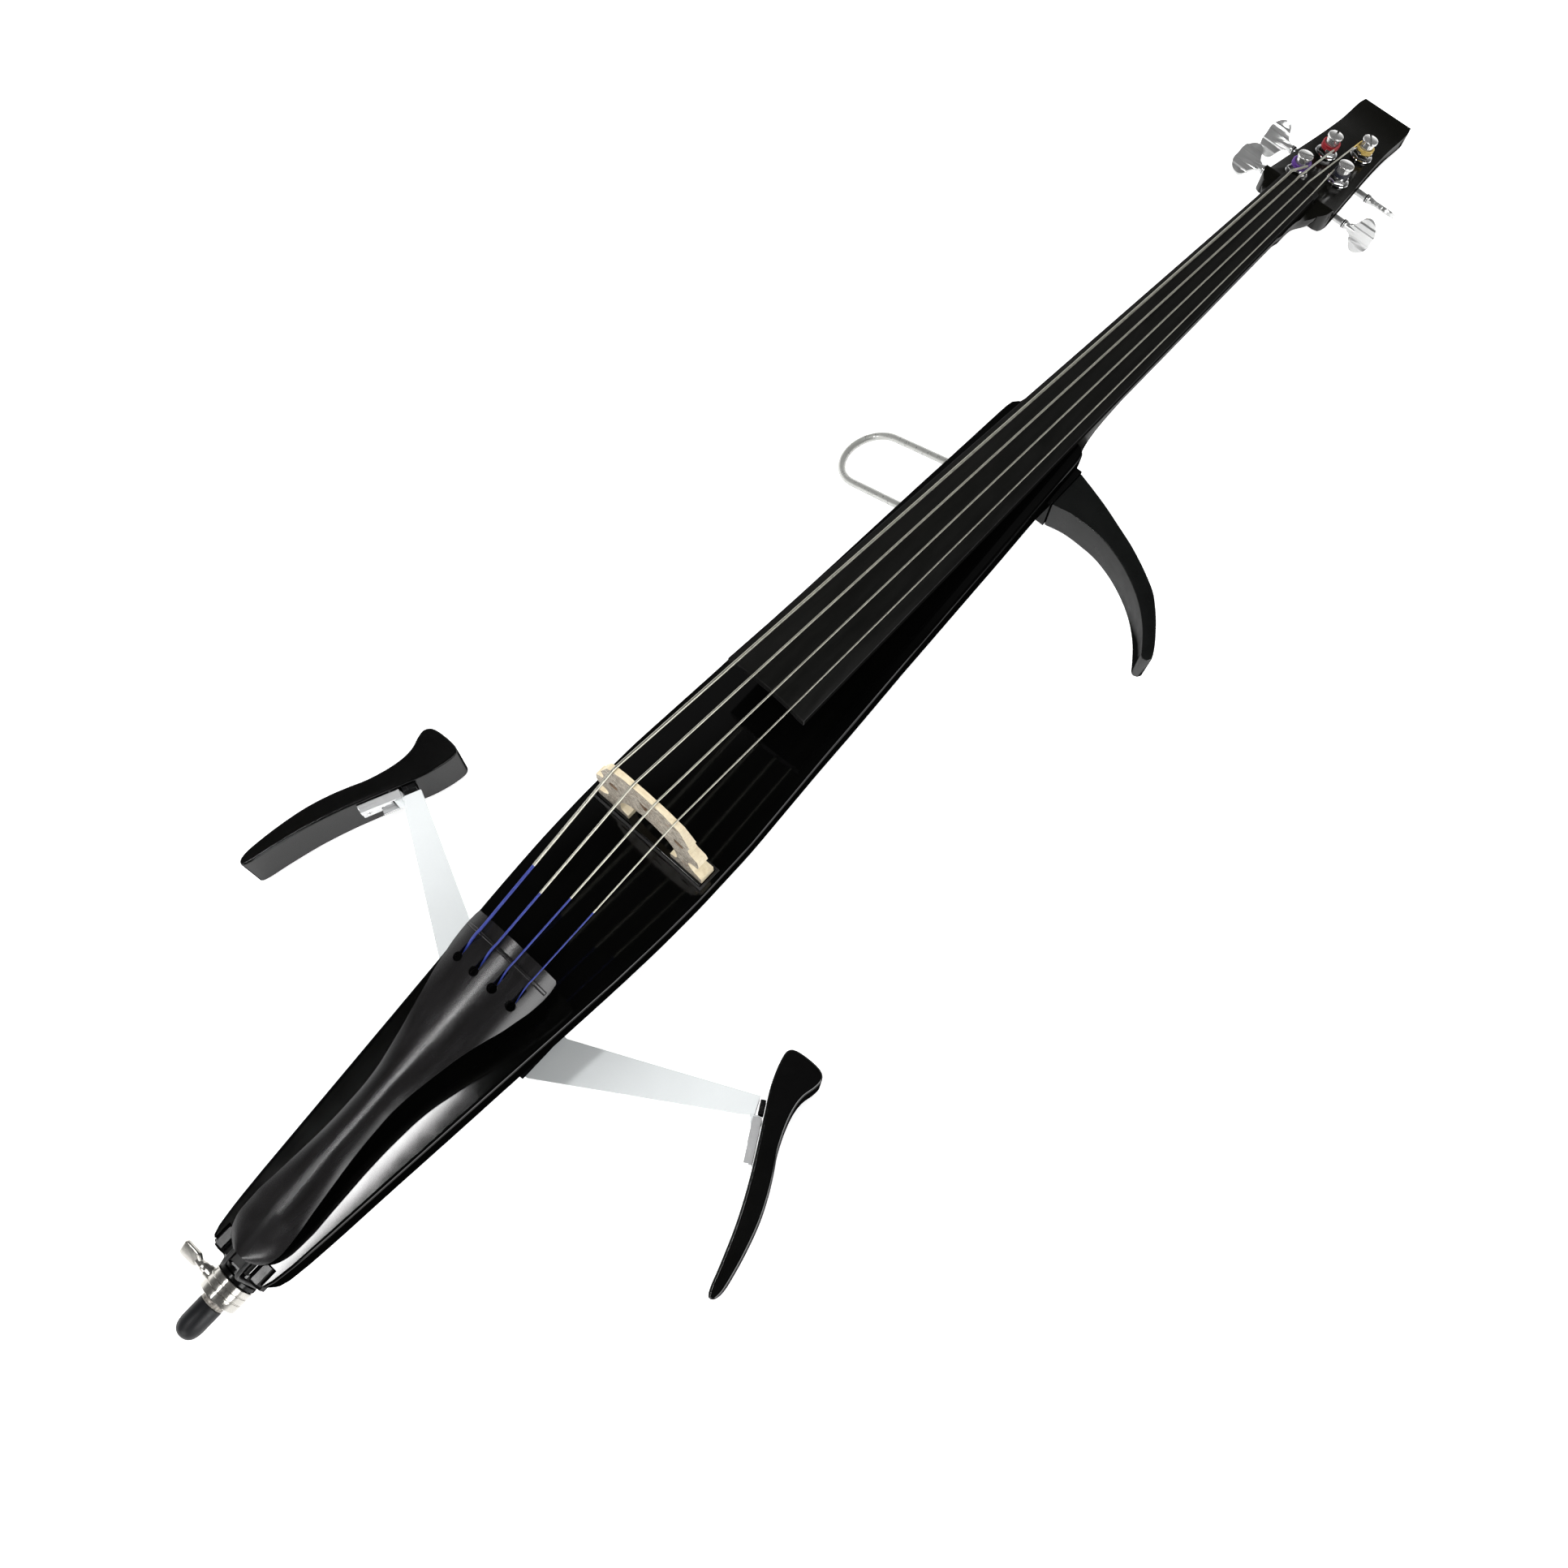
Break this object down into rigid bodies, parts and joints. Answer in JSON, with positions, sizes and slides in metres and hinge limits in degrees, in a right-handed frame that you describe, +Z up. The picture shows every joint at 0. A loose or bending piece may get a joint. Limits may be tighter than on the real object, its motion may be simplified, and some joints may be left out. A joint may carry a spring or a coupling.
{
  "type": "electric cello",
  "caption": "Slim solid-look bowed electric string instrument with folding knee rests, sliding chest loop, hooked hand guide, sliding endpin and geared tuners.",
  "frame": {"origin": "middle of the bounding box in plan, on the surface that the knee pads and the head end rest on", "axes": "+Y along the strings toward the head, +Z up out of the playing side, +X toward the treble side (the hooked hand guide)"},
  "size_m": [0.4113, 1.2338, 0.1826],
  "materials": {
    "black_lacquer": "gloss black lacquer over wood",
    "black_satin": "satin black paint over wood",
    "raw_wood": "bare wood block",
    "ebony_satin": "satin oiled ebony",
    "maple": "bare maple",
    "black_plate": "smooth black moulding",
    "grey_rubber": "matte grey gasket",
    "pickup_brass": "brushed brass strip",
    "black_cord": "black stranded cord",
    "nickel": "bright nickel plate",
    "rod_steel": "fine brushed steel",
    "black_rubber": "matte black rubber",
    "loop_steel": "brushed silver wire",
    "horn_black": "semi-matte charcoal moulding",
    "panel_plastic": "matte black moulding",
    "board_green": "green board",
    "battery_case": "satin painted case",
    "chrome_plate": "polished chrome plate",
    "string_steel": "flat-wound steel",
    "arm_aluminium": "light satin anodised sheet",
    "pad_black": "gloss black moulding"
  },
  "bodies": {
    "instrument_body": {"body_shell": "black_lacquer", "back_cover": "black_satin", "end_block": "raw_wood", "neck": "black_lacquer", "fingerboard": "ebony_satin", "nut": "ebony_satin", "bridge": "maple", "bridge_plate": "black_plate", "plate_gasket": "grey_rubber", "pickup_strip": "pickup_brass", "tailpiece": "ebony_satin", "saddle": "ebony_satin", "tail_cord": "black_cord", "endpin_plug": "black_plate", "endpin_collar": "nickel", "bushing_c": "chrome_plate", "tuner_plate_c": "chrome_plate", "string_c": "string_steel", "bushing_g": "chrome_plate", "tuner_plate_g": "chrome_plate", "string_g": "string_steel", "bushing_d": "chrome_plate", "tuner_plate_d": "chrome_plate", "string_d": "string_steel", "bushing_a": "chrome_plate", "tuner_plate_a": "chrome_plate", "string_a": "string_steel", "arm_pivot_bolt_treble": "nickel", "arm_pivot_bolt_bass": "nickel", "arm_mount": "black_plate", "loop_socket": "black_plate", "horn_mount": "black_plate", "control_panel": "panel_plastic", "output_jack": "nickel", "circuit_board": "board_green", "battery": "battery_case"},
    "tuning_key_c": {"key_c": "chrome_plate"},
    "string_post_c": {"post_c": "chrome_plate"},
    "tuning_key_g": {"key_g": "chrome_plate"},
    "string_post_g": {"post_g": "chrome_plate"},
    "tuning_key_d": {"key_d": "chrome_plate"},
    "string_post_d": {"post_d": "chrome_plate"},
    "tuning_key_a": {"key_a": "chrome_plate"},
    "string_post_a": {"post_a": "chrome_plate"},
    "endpin": {"endpin_rod": "rod_steel", "endpin_tip": "black_rubber"},
    "clamp_screw": {"endpin_thumbscrew": "nickel"},
    "knee_rest_arm_treble": {"knee_arm_treble": "arm_aluminium"},
    "knee_rest_pad_treble": {"knee_pad_treble": "pad_black", "hinge_block_treble": "black_plate", "pad_bracket_treble": "chrome_plate"},
    "knee_rest_arm_bass": {"knee_arm_bass": "arm_aluminium"},
    "knee_rest_pad_bass": {"knee_pad_bass": "pad_black", "hinge_block_bass": "black_plate", "pad_bracket_bass": "chrome_plate"},
    "chest_rest": {"chest_loop": "loop_steel"},
    "hand_guide": {"left_hand_horn": "horn_black"},
    "volume_control": {"volume_knob": "panel_plastic"},
    "switch_slider": {"power_switch": "panel_plastic"},
    "battery_cover": {"battery_door": "panel_plastic"}
  },
  "joints": [
    {"name": "turn_key_c", "type": "hinge", "parent": "instrument_body", "child": "tuning_key_c", "pos_m": [-0.01771, 0.49504, 0.02317], "axis": [-1, 0, 0], "continuous": true},
    {"name": "turn_post_c", "type": "hinge", "parent": "instrument_body", "child": "string_post_c", "pos_m": [-0.01771, 0.49031, 0.04397], "axis": [0, 0.2459, 0.9693], "continuous": true},
    {"name": "turn_key_g", "type": "hinge", "parent": "instrument_body", "child": "tuning_key_g", "pos_m": [-0.01411, 0.53594, 0.01279], "axis": [-1, 0, 0], "continuous": true},
    {"name": "turn_post_g", "type": "hinge", "parent": "instrument_body", "child": "string_post_g", "pos_m": [-0.01411, 0.53121, 0.03359], "axis": [0, 0.2459, 0.9693], "continuous": true},
    {"name": "turn_key_d", "type": "hinge", "parent": "instrument_body", "child": "tuning_key_d", "pos_m": [0.00659, 0.53846, 0.01215], "axis": [1, 0, 0], "continuous": true},
    {"name": "turn_post_d", "type": "hinge", "parent": "instrument_body", "child": "string_post_d", "pos_m": [0.00659, 0.55254, 0.02818], "axis": [0, 0.2459, 0.9693], "continuous": true},
    {"name": "turn_key_a", "type": "hinge", "parent": "instrument_body", "child": "tuning_key_a", "pos_m": [0.00879, 0.49688, 0.0227], "axis": [1, 0, 0], "continuous": true},
    {"name": "turn_post_a", "type": "hinge", "parent": "instrument_body", "child": "string_post_a", "pos_m": [0.00879, 0.51096, 0.03873], "axis": [0, 0.2459, 0.9693], "continuous": true},
    {"name": "slide_endpin", "type": "slide", "parent": "instrument_body", "child": "endpin", "axis": [0, -1, 0], "range_m": [0, 0.38]},
    {"name": "turn_clamp_screw", "type": "hinge", "parent": "instrument_body", "child": "clamp_screw", "pos_m": [-0.02431, -0.5832, 0.078], "axis": [-1, 0, 0], "range_deg": [0, 360]},
    {"name": "fold_knee_arm_treble", "type": "hinge", "parent": "instrument_body", "child": "knee_rest_arm_treble", "pos_m": [0.01819, -0.3688, 0.03425], "axis": [0, 0, 1], "range_deg": [0, 50]},
    {"name": "turn_knee_pad_treble", "type": "hinge", "parent": "knee_rest_arm_treble", "child": "knee_rest_pad_treble", "pos_m": [0.15309, -0.31016, 0.0285], "axis": [0, 0, -1], "range_deg": [0, 50]},
    {"name": "fold_knee_arm_bass", "type": "hinge", "parent": "instrument_body", "child": "knee_rest_arm_bass", "pos_m": [-0.02681, -0.3688, 0.03425], "axis": [0, 0, -1], "range_deg": [0, 50]},
    {"name": "turn_knee_pad_bass", "type": "hinge", "parent": "knee_rest_arm_bass", "child": "knee_rest_pad_bass", "pos_m": [-0.16291, -0.313, 0.0285], "axis": [0, 0, 1], "range_deg": [0, 50]},
    {"name": "slide_chest_loop", "type": "slide", "parent": "instrument_body", "child": "chest_rest", "axis": [0.9173, 0, 0.3981], "range_m": [0, 0.035]},
    {"name": "pull_off_hand_guide", "type": "slide", "parent": "instrument_body", "child": "hand_guide", "axis": [1, 0, 0], "range_m": [0, 0.025]},
    {"name": "turn_volume_knob", "type": "hinge", "parent": "instrument_body", "child": "volume_control", "pos_m": [-0.00431, 0.0172, 0.05], "axis": [0, 0, -1], "range_deg": [0, 270]},
    {"name": "slide_power_switch", "type": "slide", "parent": "instrument_body", "child": "switch_slider", "axis": [1, 0, 0], "range_m": [0, 0.004]},
    {"name": "lift_off_battery_door", "type": "slide", "parent": "instrument_body", "child": "battery_cover", "axis": [0, 0, -1], "range_m": [0, 0.03]}
  ],
  "couplings": [
    {"joint": "turn_post_c", "follows": "turn_key_c", "ratio": 0.05},
    {"joint": "turn_post_g", "follows": "turn_key_g", "ratio": 0.05},
    {"joint": "turn_post_d", "follows": "turn_key_d", "ratio": 0.05},
    {"joint": "turn_post_a", "follows": "turn_key_a", "ratio": 0.05}
  ]
}
